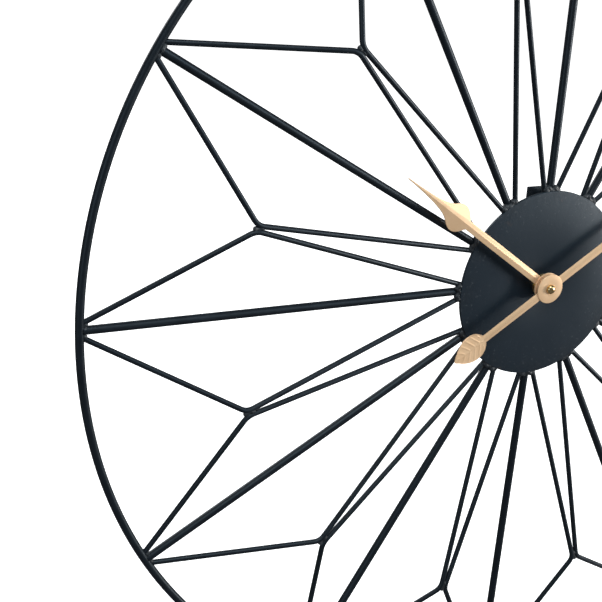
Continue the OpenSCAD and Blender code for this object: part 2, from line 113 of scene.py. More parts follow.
# %% [markdown]
# ## The stage
# The clock stands before plain white, as on a studio sweep. The floor is a pale sheet just
# below the ring, bright enough to melt into the white world behind it. Its bounce would lift
# the black lacquer, so the sheet is hidden from the rays that light the clock.

# %% Floor and backdrop
FLOOR_GAP = 0.02                          # metres below the ring
FLOOR_SIZE = 40
WORLD_FILL = 0.16                         # strength of the white world as a light


def link_nodes(tree, kind, inputs=(), **settings):
    """Add one node to a tree, with its settings first and its sockets' values or links next."""
    made = tree.nodes.new(kind)
    for key, value in settings.items():
        setattr(made, key, value)
    for key, value in dict(inputs).items():
        socket = made.inputs[key]
        if isinstance(value, bpy.types.NodeSocket):
            tree.links.new(value, socket)
        else:
            socket.default_value = value
    return made


bpy.ops.object.select_all(action="DESELECT")
bpy.ops.mesh.primitive_grid_add(x_subdivisions=8, y_subdivisions=8, size=FLOOR_SIZE,
                                location=(0, 0, cad_low.z - FLOOR_GAP))
floor = bpy.context.object
floor.name = "floor"
floor.visible_diffuse = False
floor.visible_glossy = False
paper = bpy.data.materials.new("white_sweep")
paper.use_nodes = True
sheet = paper.node_tree.nodes["Principled BSDF"]
sheet.inputs["Base Color"].default_value = (0.9, 0.9, 0.9, 1)
sheet.inputs["Roughness"].default_value = 0.9
sheet.inputs["Emission Color"].default_value = (1, 1, 1, 1)
sheet.inputs["Emission Strength"].default_value = 1.0
floor.data.materials.append(paper)

world = bpy.data.worlds.new("studio")
bpy.context.scene.world = world
world.use_nodes = True
sky = world.node_tree
sky.nodes.clear()
path = link_nodes(sky, "ShaderNodeLightPath")
seen = link_nodes(sky, "ShaderNodeBackground", {"Color": (1, 1, 1, 1), "Strength": 1.0})
fill = link_nodes(sky, "ShaderNodeBackground",
                  {"Color": (0.93, 0.96, 1, 1), "Strength": WORLD_FILL})
both = link_nodes(sky, "ShaderNodeMixShader",
                  {0: path.outputs["Is Camera Ray"], 1: fill.outputs[0], 2: seen.outputs[0]})
link_nodes(sky, "ShaderNodeOutputWorld", {"Surface": both.outputs[0]})
bpy.context.scene.view_settings.view_transform = "Standard"
print("the floor lies at z =", round(cad_low.z - FLOOR_GAP, 3))

# %% [markdown]
# ## The lights
# Soft studio light from five softboxes. The key, a tall one to the clock's right, throws the
# hands' soft shadows across the disc. The front one lightens the disc's upper right, the top
# one its upper left and the tops of the rods, and the side one keeps the left of the ring from
# going flat black. The rear one is for views from behind only. Area lights are used because
# their size is what makes a shadow soft.

# %% Softboxes


def softbox(name, place, size, power, tint=(1, 1, 1)):
    """An area light at a place, aimed at the middle of the clock."""
    data = bpy.data.lights.new(name, "AREA")
    data.shape = "RECTANGLE"
    data.size, data.size_y = size
    data.energy = power
    data.color = tint
    light = bpy.data.objects.new(name, data)
    bpy.context.scene.collection.objects.link(light)
    light.location = place
    light.rotation_mode = "QUATERNION"
    light.rotation_quaternion = (-Vector(place)).to_track_quat("-Z", "Y")
    return light


# each line is a name, a place, a width and height, a power in watts and a tint
softbox("key_softbox", (1.75, -1.0, 0.1), (0.45, 1.0), 33, (1, 0.98, 0.95))
softbox("front_softbox", (1.6, -1.9, 1.1), (1.3, 1.3), 15, (0.66, 0.87, 1))
softbox("top_softbox", (-0.5, -1.3, 1.9), (1.2, 1.2), 29, (0.88, 0.97, 1))
softbox("side_softbox", (-1.9, -1.2, 0.2), (1.2, 1.2), 7, (0.8, 0.91, 1))
softbox("rear_softbox", (-0.6, 2.0, 1.2), (1.6, 1.6), 30)

# %% [markdown]
# ## Shader maths as Python
# A finish needs masks, such as how far a point is from the disc's edge. Each step of such a
# mask is a Math node, and a page of node calls hides the formula. A small class that wraps a
# socket and overloads the operators lets the formula be written as it is read.

# %% A value in a material


class Value:
    """One number in a node tree, which plain operators combine into Math nodes."""

    def __init__(self, tree, socket):
        self.tree = tree
        self.socket = socket

    def math(self, operation, *others, clamp=False):
        node = self.tree.nodes.new("ShaderNodeMath")
        node.operation = operation
        node.use_clamp = clamp
        for place, item in enumerate((self, *others)):
            if isinstance(item, Value):
                self.tree.links.new(item.socket, node.inputs[place])
            else:
                node.inputs[place].default_value = item
        return Value(self.tree, node.outputs[0])

    def swapped(self, operation, first):
        node = self.tree.nodes.new("ShaderNodeMath")
        node.operation = operation
        node.inputs[0].default_value = first
        self.tree.links.new(self.socket, node.inputs[1])
        return Value(self.tree, node.outputs[0])

    def __add__(self, other):
        return self.math("ADD", other)

    __radd__ = __add__

    def __mul__(self, other):
        return self.math("MULTIPLY", other)

    __rmul__ = __mul__

    def __sub__(self, other):
        return self.math("SUBTRACT", other)

    def __rsub__(self, first):
        return self.swapped("SUBTRACT", first)

    def __truediv__(self, other):
        return self.math("DIVIDE", other)

    def ramp(self, low, high):
        """0 at low and 1 at high, held at both ends."""
        return ((self - low) / (high - low)).math("MULTIPLY", 1, clamp=True)


class Finish:
    """A node material under construction, with the few node groups that these finishes share."""

    def __init__(self, name):
        self.material = bpy.data.materials.new(name)
        self.material.use_nodes = True
        self.tree = self.material.node_tree
        self.shader = self.tree.nodes["Principled BSDF"]
        self.where = self.node("ShaderNodeTexCoord").outputs["Object"]

    def node(self, kind, inputs=(), **settings):
        links = {k: v.socket if isinstance(v, Value) else v for k, v in dict(inputs).items()}
        return link_nodes(self.tree, kind, links, **settings)

    def noise(self, scale, detail=3.0, roughness=0.55, stretch=None):
        """Soft random patches `scale` per metre; stretch makes them streaks."""
        place = self.where
        if stretch:
            place = self.node("ShaderNodeMapping", {"Vector": place, "Scale": stretch}).outputs[0]
        made = self.node("ShaderNodeTexNoise", {"Vector": place, "Scale": scale, "Detail": detail,
                                                "Roughness": roughness})
        return Value(self.tree, made.outputs["Fac"])

    def axis(self, name):
        """One coordinate of the point, in metres."""
        made = self.node("ShaderNodeSeparateXYZ", {0: self.where})
        return Value(self.tree, made.outputs[name])

    def mix(self, mask, first, second):
        made = self.node("ShaderNodeMix", {0: mask, 6: first, 7: second}, data_type="RGBA")
        return made.outputs[2]

    def colour(self, value):
        self.put("Base Color", value)

    def put(self, name, value):
        if isinstance(value, Value):
            value = value.socket
        if isinstance(value, bpy.types.NodeSocket):
            self.tree.links.new(value, self.shader.inputs[name])
        else:
            self.shader.inputs[name].default_value = value

    def bump(self, height, depth, strength=1.0):
        """Raise the surface by height times depth, in metres."""
        made = self.node("ShaderNodeBump",
                         {"Height": height, "Distance": depth, "Strength": strength})
        self.tree.links.new(made.outputs[0], self.shader.inputs["Normal"])


def rgb(r, g, b):
    return (r, g, b, 1)


print("finishes are node trees; maths nodes come from Python operators")

# %% [markdown]
# ## Black lacquer
# The frame's steel is sprayed with a satin blue-black lacquer. Spray leaves a faint orange
# peel and patches that are a little duller, and on thin rods it leaves small runs and
# specks. Noise drives the colour, the roughness and the bump, each at its own scale.

# %% Lacquer for the rods
LACQUER = rgb(0.0036, 0.0056, 0.0086)
LACQUER_WORN = rgb(0.0098, 0.0138, 0.0194)
BLUE_SHEEN = rgb(0.76, 0.89, 1.0)


def rod_lacquer():
    f = Finish("rod_lacquer")
    patches = f.noise(90, 4)
    specks = f.noise(900, 2).ramp(0.62, 0.75)
    f.colour(f.mix(patches.ramp(0.35, 0.75) * 0.7 + specks * 0.3, LACQUER, LACQUER_WORN))
    f.put("Roughness", 0.34 + patches * 0.16)
    f.put("Specular IOR Level", 0.37)
    f.put("Specular Tint", BLUE_SHEEN)
    f.bump(f.noise(1400, 3) * 0.6 + f.noise(260, 2) * 0.8, 0.00006, 0.6)
    return f.material


rods_black = rod_lacquer()
print("made", rods_black.name)

# %% [markdown]
# ## Finishing a piece
# Every piece made here ends the same way: its place goes into its mesh, so that the object
# sits unturned at the origin, its smooth faces are shaded smooth, it gets its material, its
# name and the body it rides on, and the working-model nodes that it stands for are hidden.

# %% The last step of every piece


def drop_selection():
    bpy.ops.object.select_all(action="DESELECT")


def pick(obj):
    drop_selection()
    obj.select_set(True)
    bpy.context.view_layer.objects.active = obj


def done(obj, name, body, slot, material, *nodes, smooth=35):
    place_in_mesh(obj)
    bpy.ops.object.shade_smooth_by_angle(angle=math.radians(smooth))
    obj.name = name
    obj.data.name = name
    obj.data.materials.clear()
    obj.data.materials.append(material)
    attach(obj, body)
    if nodes:
        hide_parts(*nodes)
    return obj


def clock_turn(degrees):
    """The turn that carries twelve o'clock to this many degrees clockwise."""
    return Matrix.Rotation(math.radians(degrees), 4, "Y")


def turned_copy(obj, degrees, mirrored=False):
    """A copy with its own mesh, mirrored across the twelve o'clock line and turned."""
    twin = obj.copy()
    twin.data = obj.data.copy()
    bpy.context.scene.collection.objects.link(twin)
    change = clock_turn(degrees)
    if mirrored:
        change = change @ Matrix.Diagonal((-1, 1, 1, 1))
    twin.data.transform(change)
    if mirrored:
        pick(twin)
        bpy.ops.object.mode_set(mode="EDIT")
        bpy.ops.mesh.select_all(action="SELECT")
        bpy.ops.mesh.normals_make_consistent(inside=False)
        bpy.ops.object.mode_set(mode="OBJECT")
    return twin


def select_where(obj, test):
    """Select the vertices whose place passes a test, from object mode, and count them."""
    for group in (obj.data.vertices, obj.data.edges, obj.data.polygons):
        group.foreach_set("select", [False] * len(group))
    chosen = 0
    for v in obj.data.vertices:
        v.select = bool(test(v.co))
        chosen += v.select
    return chosen


def edit(obj):
    pick(obj)
    bpy.ops.object.mode_set(mode="EDIT")
    bpy.ops.mesh.select_mode(type="VERT")


def leave():
    bpy.ops.object.mode_set(mode="OBJECT")


def use(obj, kind, **settings):
    """Add a modifier, set it and apply it."""
    pick(obj)
    modifier = obj.modifiers.new(kind.lower(), kind)
    for key, value in settings.items():
        setattr(modifier, key, value)
    bpy.ops.object.modifier_apply(modifier=modifier.name)


def bevel(obj, width, segments, sharp=50):
    """Round every edge where two faces meet at more than `sharp` degrees."""
    use(obj, "BEVEL", width=width * MM, segments=segments, limit_method="ANGLE",
        angle_limit=math.radians(sharp))


def place_in_mesh(obj):
    """Move an object's place, turn and size into its mesh."""
    pick(obj)
    bpy.ops.object.transform_apply(location=True, rotation=True, scale=True)


def joined(parts):
    """One object out of several; the first one stays."""
    drop_selection()
    for part in parts:
        part.select_set(True)
    bpy.context.view_layer.objects.active = parts[0]
    bpy.ops.object.join()
    return parts[0]


print("helpers ready")

# %% [markdown]
# ## The outer ring
# The ring is one round rod rolled to a circle, whose ends are butt-welded and dressed with a
# file. A torus gives the rolled rod. The weld is left as a slight swelling: the vertices of
# one short stretch are picked by their place and fattened along their normals.

# %% Roll the ring
ring_low, ring_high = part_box("outer_ring")
ROD_R = (ring_high.y - ring_low.y) / 2
RING_R = ring_high.x - ROD_R
RING_Y = (ring_high.y + ring_low.y) / 2
drop_selection()
bpy.ops.mesh.primitive_torus_add(major_radius=RING_R, minor_radius=ROD_R, major_segments=288,
                                 minor_segments=20, location=(0, RING_Y, 0),
                                 rotation=(math.pi / 2, 0, 0))
ring = bpy.context.object
bpy.ops.object.transform_apply(location=True, rotation=True, scale=True)
RING_JOIN = clock_turn(193) @ Vector((0, RING_Y, RING_R))   # low on the ring, left of six
JOIN_REACH = 4.4 * MM
JOIN_SWELL = 0.25 * MM
picked = select_where(ring, lambda p: (p - RING_JOIN).length < JOIN_REACH)
edit(ring)
bpy.ops.transform.shrink_fatten(value=JOIN_SWELL)
leave()
done(ring, "outer_ring_rod", "clock_frame", "black_steel", rods_black, "outer_ring")
print("ring radius", round(RING_R, 4), "m, swelling on", picked, "vertices")

# %% [markdown]
# ## The spokes
# Twelve straight rods of the ring's thickness run from behind the disc to the ring. A rod
# is a small filled circle that looks along the rod and is extruded to its length. It is
# made once, at twelve o'clock, and copied round the clock.

# %% Cut the spokes
disc_low, disc_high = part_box("hub_disc")
DISC_R = disc_high.x
DISC_FRONT, DISC_BACK = disc_low.y, disc_high.y
LAP_FLAT = 0.3 * MM                       # how deep a rod is pressed into the disc's back
HUB_LAP = 9 * MM                          # how far a spoke runs in behind the disc
RING_LAP = 0.8 * MM                       # how far a spoke's end runs into the ring


def rim_slope(rod_radius, far_radius, far_y):
    """Depth of a rod's middle at the disc's rim, and how fast it moves back from there."""
    rim_y = DISC_BACK + rod_radius - LAP_FLAT
    return rim_y, (far_y - rim_y) / (far_radius - DISC_R)


def filled_circle(place, direction, radius, sides):
    drop_selection()
    bpy.ops.mesh.primitive_circle_add(vertices=sides, radius=radius, fill_type="NGON",
                                      location=place,
                                      rotation=direction.to_track_quat("Z", "Y").to_euler())
    made = bpy.context.object
    bpy.ops.object.mode_set(mode="EDIT")
    bpy.ops.mesh.select_all(action="SELECT")
    return made


def closed():
    """End an extrusion: all faces outwards, back to object mode."""
    bpy.ops.mesh.select_all(action="SELECT")
    bpy.ops.mesh.normals_make_consistent(inside=False)
    bpy.ops.object.mode_set(mode="OBJECT")


rim_y, slope = rim_slope(ROD_R, RING_R, RING_Y)
spoke_in = Vector((0, rim_y - slope * HUB_LAP, DISC_R - HUB_LAP))
spoke_out = Vector((0, rim_y + slope * (RING_R - ROD_R - DISC_R), RING_R - ROD_R + RING_LAP))
spoke = filled_circle(spoke_in, spoke_out - spoke_in, ROD_R, 20)
bpy.ops.mesh.extrude_region_move(TRANSFORM_OT_translate={"value": spoke_out - spoke_in})
closed()
place_in_mesh(spoke)
for hour in range(1, 13):
    done(turned_copy(spoke, 30 * hour), f"spoke_rod_{hour}", "clock_frame", "black_steel",
         rods_black, f"spoke_{hour}")
bpy.data.objects.remove(spoke)
print("spokes are", round((spoke_out - spoke_in).length / MM, 1), "mm long")

# %% [markdown]
# ## The bent wires
# Between two spokes stands a pair of thin wires. Each leaves the disc beside one spoke,
# meets its neighbour at an elbow midway, well in front of the ring, and comes back to the
# ring beside the same spoke. A wire is a circle, extruded along its first leg, spun round
# the bend and extruded again, as a wire is bent over a former. Spin turns against the
# corner's own direction, so its angle is negative.

# %% Bend the wires
WIRE_R = 1.65 * MM
WIRE_LAP = 1.4 * MM                       # how far a wire runs in behind the disc
WIRE_STEP = ROD_R + 0.2 * MM + WIRE_R     # from the spoke's middle to the wire's
ELBOW_R = 212 * MM
ELBOW_Y = RING_Y - 17.5 * MM
BEND = 9 * MM                             # radius of the bend at an elbow
HALF_STEP = -15                           # degrees from the middle of a pair to its spokes
WIRE_END = RING_R - ROD_R * 0.75          # radius at which a wire ends inside the ring


def beside_spoke(radius, y):
    """A place on the wire's side of a spoke, turned into the pair's own frame."""
    place = Vector((WIRE_STEP, y, math.sqrt(radius ** 2 - WIRE_STEP ** 2)))
    return clock_turn(HALF_STEP) @ place


def bend_of(start, corner, end, radius):
    """First direction, axis, angle, start and centre of a round bend at a corner."""
    u = (corner - start).normalized()
    v = (end - corner).normalized()
    axis = u.cross(v).normalized()
    angle = u.angle(v)
    before = corner - u * radius * math.tan(angle / 2)
    return u, axis, angle, before, before + axis.cross(u) * radius


def bent_wire(start, corner, end):
    u, axis, angle, before, centre = bend_of(start, corner, end, BEND)
    wire = filled_circle(start, u, WIRE_R, 16)
    bpy.ops.mesh.extrude_region_move(TRANSFORM_OT_translate={"value": before - start})
    bpy.ops.mesh.spin(steps=12, angle=-angle, center=centre, axis=axis)
    after = centre + Quaternion(axis, angle) @ (before - centre)
    bpy.ops.mesh.extrude_region_move(TRANSFORM_OT_translate={"value": end - after})
    closed()
    place_in_mesh(wire)
    return wire


rim_y, slope = rim_slope(WIRE_R, ELBOW_R, ELBOW_Y)
wire_in = beside_spoke(DISC_R - WIRE_LAP, rim_y - slope * WIRE_LAP)
wire_out = beside_spoke(WIRE_END, RING_Y)
elbow = Vector((-WIRE_R - 0.06 * MM, ELBOW_Y, ELBOW_R))
# the bend cuts its corner, so the corner stands nearer the middle line than the wire does
u, axis, angle, before, centre = bend_of(wire_in, elbow, wire_out, BEND)
widest = centre.x + BEND * math.sqrt(1 - axis.x ** 2)
wire = bent_wire(wire_in, elbow - Vector((widest - elbow.x, 0, 0)), wire_out)
for gap in range(1, 13):
    pair = joined([turned_copy(wire, 30 * gap - HALF_STEP, flip) for flip in (False, True)])
    done(pair, f"bent_wires_{gap}", "clock_frame", "black_steel", rods_black, f"ray_wires_{gap}")
bpy.data.objects.remove(wire)
print("each wire bends", round(math.degrees(angle), 1), "degrees at its elbow")

# %% [markdown]
# ## The weld beads
# Hand-laid welds hold the frame together: a low lump over each bundle of three rods at the
# disc's rim, one at each elbow, and small ones where the rods butt against the ring. A weld
# is a few overlapping blobs that flowed into one, so small balls are joined, fused by a
# voxel remesh, smoothed, and roughened by a displacement that differs from place to place.

# %% Lay the welds
grain = bpy.data.textures.new("weld_grain", "CLOUDS")
grain.noise_scale = 2.4 * MM
grain.noise_depth = 2
luck = random.Random(12)
WANDER = 0.35 * MM                        # how far a ball strays from its place


def blob(place, size):
    """One squashed ball of weld metal, `size` across each way."""
    drop_selection()
    bpy.ops.mesh.primitive_ico_sphere_add(subdivisions=3, radius=0.5, location=place,
                                          rotation=(luck.uniform(0, 3), luck.uniform(0, 3), 0))
    made = bpy.context.object
    bpy.ops.object.transform_apply(location=False, rotation=True, scale=False)
    made.scale = size
    bpy.ops.object.transform_apply(location=True, rotation=True, scale=True)
    return made


def weld(name, balls, degrees, roughness, voxel):
    """Fuse balls into one bead and lay it at an angle round the clock."""
    made = []
    for place, size in balls:
        shift = Vector((luck.uniform(-1, 1), luck.uniform(-1, 1), luck.uniform(-1, 1)))
        made.append(blob(Vector(place) * MM + shift * WANDER, Vector(size) * MM))
    bead = joined(made)
    use(bead, "REMESH", mode="VOXEL", voxel_size=voxel * MM)
    use(bead, "SMOOTH", factor=0.9, iterations=9)
    bead.data.transform(clock_turn(degrees))
    use(bead, "DISPLACE", texture=grain, texture_coords="LOCAL", strength=roughness * MM,
        mid_level=0.5)
    return done(bead, name, "clock_frame", "black_steel", weld_black, smooth=60)


WELD_DARK = rgb(0.008, 0.011, 0.015)
WELD_LIGHT = rgb(0.027, 0.032, 0.039)


def weld_lacquer():
    """Lacquer over a weld: duller and lighter than on the rods."""
    f = Finish("weld_lacquer")
    cloud = f.noise(420, 4)
    spatter = f.noise(1500, 2).ramp(0.58, 0.72)
    f.colour(f.mix(cloud.ramp(0.3, 0.75) * 0.75 + spatter * 0.25, WELD_DARK, WELD_LIGHT))
    f.put("Roughness", 0.36 + cloud * 0.25)
    f.bump(cloud + spatter * 0.3, 0.00025, 0.8)
    return f.material


weld_black = weld_lacquer()
rim = DISC_R / MM
front = DISC_FRONT / MM
back = DISC_BACK / MM
# each ball is a place (across, depth, radius) and a size, in millimetres at twelve o'clock
rim_balls = [((-4.0, front + 2.0, rim + 0.2), (4.6, 3.6, 4.0)),
             ((0, front + 1.9, rim - 0.3), (6.6, 3.6, 4.6)),
             ((4.0, front + 2.0, rim + 0.1), (4.6, 3.6, 4.0)),
             ((-2.3, front + 2.3, rim + 1.4), (4.2, 4.2, 3.8)),
             ((2.5, front + 2.3, rim + 1.4), (4.2, 4.2, 4.0)),
             ((-4.4, back + 0.4, rim + 1.0), (3.8, 4.4, 4.2)),
             ((4.4, back + 0.4, rim + 0.9), (3.8, 4.4, 4.0)),
             ((0, back + 1.6, rim - 0.2), (6.6, 5.4, 4.4))]
elbow_y = ELBOW_Y / MM
elbow_balls = [((0, elbow_y + 0.4, 211.6), (2.8, 2.4, 5.0)),
               ((0.2, elbow_y - 0.3, 208.8), (2.2, 2.2, 4.0)),
               ((-0.2, elbow_y + 0.2, 213.1), (3.4, 2.6, 2.6))]
ring_in = (RING_R - ROD_R) / MM
ring_y = RING_Y / MM
ring_balls = [((-3.2, ring_y - 0.9, ring_in - 0.2), (3.4, 2.8, 3.2)),
              ((3.0, ring_y - 0.8, ring_in - 0.3), (3.6, 2.8, 3.4)),
              ((0.2, ring_y - 1.5, ring_in + 0.1), (4.2, 2.0, 2.6)),
              ((-5.4, ring_y, ring_in - 0.4), (2.6, 2.8, 2.6)),
              ((5.4, ring_y + 0.2, ring_in - 0.4), (2.8, 2.8, 2.6)),
              ((0, ring_y + 1.6, ring_in - 0.2), (4.2, 2.2, 3.0))]
WELDS = [("rim_weld", rim_balls, 0, 0.9, 0.38), ("elbow_weld", elbow_balls, 15, 0.35, 0.3),
         ("ring_weld", ring_balls, 0, 0.6, 0.34)]
for hour in range(1, 13):
    for kind, balls, beyond, roughness, voxel in WELDS:
        weld(f"{kind}_{hour}", balls, 30 * hour + beyond, roughness, voxel)
print(12 * len(WELDS), "weld beads laid")

# %% [markdown]
# ## The hub disc
# The disc is a blanked steel plate with a softened edge. Most of it is bare front face, so
# its finish matters more than its shape: a circle is inset to the centre hole, given its
# thickness, and its rims are bevelled.

# %% Blank the disc
HOLE_R = 4.15 * MM
RIM_ROUND = 0.35                          # millimetres
disc = filled_circle(Vector((0, DISC_BACK, 0)), Vector((0, -1, 0)), DISC_R, 192)
bpy.ops.mesh.inset(thickness=DISC_R - HOLE_R)
bpy.ops.mesh.delete(type="FACE")
bpy.ops.mesh.select_all(action="SELECT")
bpy.ops.mesh.extrude_region_move(TRANSFORM_OT_translate={"value": (0, DISC_FRONT - DISC_BACK, 0)})
closed()
place_in_mesh(disc)
bevel(disc, RIM_ROUND, 3)


DISC_DARK = rgb(0.0065, 0.0120, 0.0190)
DISC_LIGHT = rgb(0.0090, 0.0155, 0.0235)
SCORCHED = rgb(0.010, 0.013, 0.017)
SPATTERED = rgb(0.055, 0.062, 0.070)
RUSTED = rgb(0.050, 0.030, 0.022)


def disc_lacquer():
    """Satin lacquer on the plate, mottled by heat and spatter round each weld."""
    f = Finish("disc_lacquer")
    x, y, z = f.axis("X"), f.axis("Y"), f.axis("Z")
    radius = (x * x + z * z).math("SQRT")
    hours = x.math("ARCTAN2", z) * (12 / math.tau) + 12.5
    beside = (hours.math("FRACT") - 0.5) * (math.tau / 12) * DISC_R
    inward = DISC_R - radius
    from_weld = (beside * beside * 0.55 + inward * inward).math("SQRT")
    blotch = f.noise(170, 5, 0.65)
    scorch = 1 - (from_weld + (blotch - 0.5) * 0.012).ramp(0.004, 0.013)
    near = 1 - (from_weld + (blotch - 0.5) * 0.016).ramp(0.010, 0.026)
    cloud = f.noise(14, 2)
    fine = f.noise(1300, 2)
    rust = f.noise(60, 3).ramp(0.66, 0.74) * near
    spatter = f.noise(420, 3).ramp(0.6, 0.72) * near
    tone = f.mix(cloud.ramp(0.25, 0.8), DISC_DARK, DISC_LIGHT)
    tone = f.mix(scorch * blotch.ramp(0.35, 0.65) * 0.8, tone, SCORCHED)
    tone = f.mix(spatter * 0.7, tone, SPATTERED)
    tone = f.mix(rust * 0.55, tone, RUSTED)
    f.colour(tone)
    f.put("Roughness", 0.37 + cloud * 0.06 + near * blotch * 0.14)
    f.put("Specular IOR Level", 0.40)
    f.put("Specular Tint", BLUE_SHEEN)
    f.bump(fine * 0.25 + near * blotch * 2.2 + cloud * 0.6, 0.00012, 0.7)
    return f.material


done(disc, "hub_disc_plate", "clock_frame", "black_steel", disc_lacquer(), "hub_disc")
print("disc", round(2 * DISC_R, 4), "m across,", len(disc.data.polygons), "faces")

# %% [markdown]
# ## The hands
# The hands are blanked from thin sheet and pressed over a ridge, so that each has two flat
# facets, and light catches only one of them. The outline is drawn with the same cubic curves
# as the working model. A filled circle with as many corners as the outline has is laid on
# it, bisected along the ridge, and each half is turned back by the angle of the fold.

# %% Draw the outlines
# sizes in millimetres, turns in degrees from twelve o'clock
FOLD = math.radians(12)
HEAD_LENGTH, HEAD_WIDTH, STEM = 55, 17.5, 5.8
NECK_WIDTH, NECK_R, TAIL_WIDTH, TAIL_END = 5.2, 53.6, 18, 77.6
NECK_OVERLAP = 2.5                        # how far the stem runs in under the leaf
HAND_TURN = {"minute": 57.6, "hour": 304.8}
TIP = {"minute": 172, "hour": 134}
RIDGE_Y = {"minute": -28.2, "hour": -25.2}
HAND_T = 0.5                              # sheet thickness


def curve(a, b, c, d, steps):
    """Points of a cubic curve after its first point."""
    a, b, c, d = (Vector(p) for p in (a, b, c, d))
    return [(1 - t) ** 3 * a + 3 * (1 - t) ** 2 * t * b + 3 * (1 - t) * t * t * c + t ** 3 * d
            for t in (i / steps for i in range(1, steps + 1))]


def spade_side(tip):
    def p(across, along):
        return across * HEAD_WIDTH / 2, tip - HEAD_LENGTH + along * HEAD_LENGTH
    return ([Vector(p(0.04, 1))]
            + curve(p(0.04, 1), p(0.11, 0.69), p(0.22, 0.47), p(0.49, 0.35), 12)
            + curve(p(0.49, 0.35), p(0.7, 0.27), p(1, 0.23), p(1, 0.158), 10)
            + curve(p(1, 0.158), p(1, 0.09), p(0.75, 0.06), (STEM / 2, tip - HEAD_LENGTH), 10))


def drop_width(t):
    """Half width of the tail's drop at a share t of its length, read off its two curves."""
    half = TAIL_WIDTH / 2
    points = ([Vector((NECK_WIDTH / 2, 0))]
              + curve((NECK_WIDTH / 2, 0), (0.62 * half, 0.06), (half, 0.16), (half, 0.38), 24)
              + curve((half, 0.38), (half, 0.62), (0.6 * half, 0.84), (0.02 * half, 1), 24))
    for low, high in zip(points, points[1:]):
        if t <= high.y:
            return low.x + (high.x - low.x) * (t - low.y) / (high.y - low.y)
    return points[-1].x


print("spade head:", len(spade_side(TIP["hour"])), "points a side")

# %% [markdown]
# ## Folding a blade
# Turning a half about the ridge narrows it, so the flat blank is first made wider by the
# same factor. With no window open, `transform.rotate` turns the other way round and ignores
# the pivot, so the centre is given and the angle's sign is chosen to suit.

# %% Blank and fold


def fold_half(blade, side):
    """Turn the half of a blade on one side of the ridge back from the viewer."""
    select_where(blade, lambda p: p.x * side > 0.01 * MM)
    edit(blade)
    bpy.ops.transform.rotate(value=-side * FOLD, orient_axis="Z", center_override=(0, 0, 0))
    leave()


def blank(right_side):
    points = right_side + [Vector((-p.x, p.y)) for p in reversed(right_side)]
    drop_selection()
    bpy.ops.mesh.primitive_circle_add(vertices=len(points), radius=1, fill_type="NGON")
    blade = bpy.context.object
    for v, p in zip(blade.data.vertices, points):
        v.co = (p.x * MM / math.cos(FOLD), 0, p.y * MM)
    edit(blade)
    bpy.ops.mesh.select_all(action="SELECT")
    bpy.ops.mesh.bisect(plane_co=(0, 0, 0), plane_no=(1, 0, 0))
    leave()
    fold_half(blade, 1)
    fold_half(blade, -1)
    edit(blade)
    bpy.ops.mesh.select_all(action="SELECT")
    bpy.ops.mesh.extrude_region_move(TRANSFORM_OT_translate={"value": (0, HAND_T * MM, 0)})
    closed()
    bevel(blade, 0.13, 2, sharp=15)
    return blade


stem_end = Vector((STEM / 2, 0))
neck_end = Vector((NECK_WIDTH / 2, -NECK_R - NECK_OVERLAP))
hour_blade = blank(spade_side(TIP["hour"]) + [stem_end])
minute_blade = blank(spade_side(TIP["minute"]) + [stem_end, neck_end])
edge_drop = max(v.co.y for v in hour_blade.data.vertices) / MM
print("fold drops the edge by", round(edge_drop, 2), "mm")

# %% [markdown]
# ## The tail's leaf
# The minute hand's tail ends in a flat drop with a shallow stamped relief. A plain leaf with
# a midrib and side veins stands in for the stamping. The relief is real shape, not a bump:
# a dense grid is fitted to the drop, each row as wide as the drop is there, and its points
# are raised where the veins run.

# %% Stamp the leaf
LEAF_ROWS, LEAF_COLUMNS = 110, 56
RIM_RISE, RIB_RISE, VEIN_RISE, HOLLOW = 0.12, 0.20, 0.13, 0.10    # heights in millimetres
RIB_HALF, VEIN_HALF = 0.55, 0.6           # half widths in millimetres
RIM_FROM = 0.86                           # share of the half width where the rim begins
VEIN_STEP, VEIN_SLANT = 0.17, 0.20        # shares of the leaf's length
LEAF_SAG = 0.05                           # how much the leaf's sides fall back


def relief(u, t):
    """Height of the stamping in millimetres at a share u of the half width and t of the length."""
    x = abs(u) * drop_width(t)
    rim = RIM_RISE * max(0.0, (abs(u) - RIM_FROM) / (1 - RIM_FROM)) ** 0.7
    rib = RIB_RISE * math.exp(-(x / RIB_HALF) ** 2) * min(1, 9 * t) * min(1, 7 * (1 - t))
    place = (t - VEIN_SLANT * abs(u) + 0.02) / VEIN_STEP
    off = abs(place - round(place)) * VEIN_STEP * (TAIL_END - NECK_R)
    vein = VEIN_RISE * math.exp(-(off / VEIN_HALF) ** 2) * min(1, (1 - abs(u)) * 5)
    inside = 1 if 0.1 < t < 0.93 else 0
    hollow = -HOLLOW * (1 - u * u)
    return rim + max(rib, vein * inside) + hollow


drop_selection()
bpy.ops.mesh.primitive_grid_add(x_subdivisions=LEAF_COLUMNS, y_subdivisions=LEAF_ROWS, size=2)
leaf = bpy.context.object
for v in leaf.data.vertices:
    u, t = v.co.x, (1 - v.co.y) / 2
    t = min(max(t, 0), 1)
    across = u * drop_width(t)
    v.co = (across * MM, (-relief(u, t) + abs(across) * LEAF_SAG) * MM,
            -(NECK_R + t * (TAIL_END - NECK_R)) * MM)
edit(leaf)
bpy.ops.mesh.select_all(action="SELECT")
if leaf.data.polygons[0].normal.y > 0:
    bpy.ops.mesh.flip_normals()
leave()
use(leaf, "SOLIDIFY", thickness=HAND_T * MM, offset=-1)
print("leaf:", len(leaf.data.polygons), "faces")

# %% [markdown]
# ## Champagne gold
# The hands are lacquered a pale rose gold over stamped steel. It is metallic but satin, with
# a faint cloudiness and very fine press marks along each hand.

# %% Gold for the hands
GOLD = rgb(0.86, 0.55, 0.315)
GOLD_PALE = rgb(0.91, 0.61, 0.37)
GOLD_DARK = rgb(0.74, 0.45, 0.25)


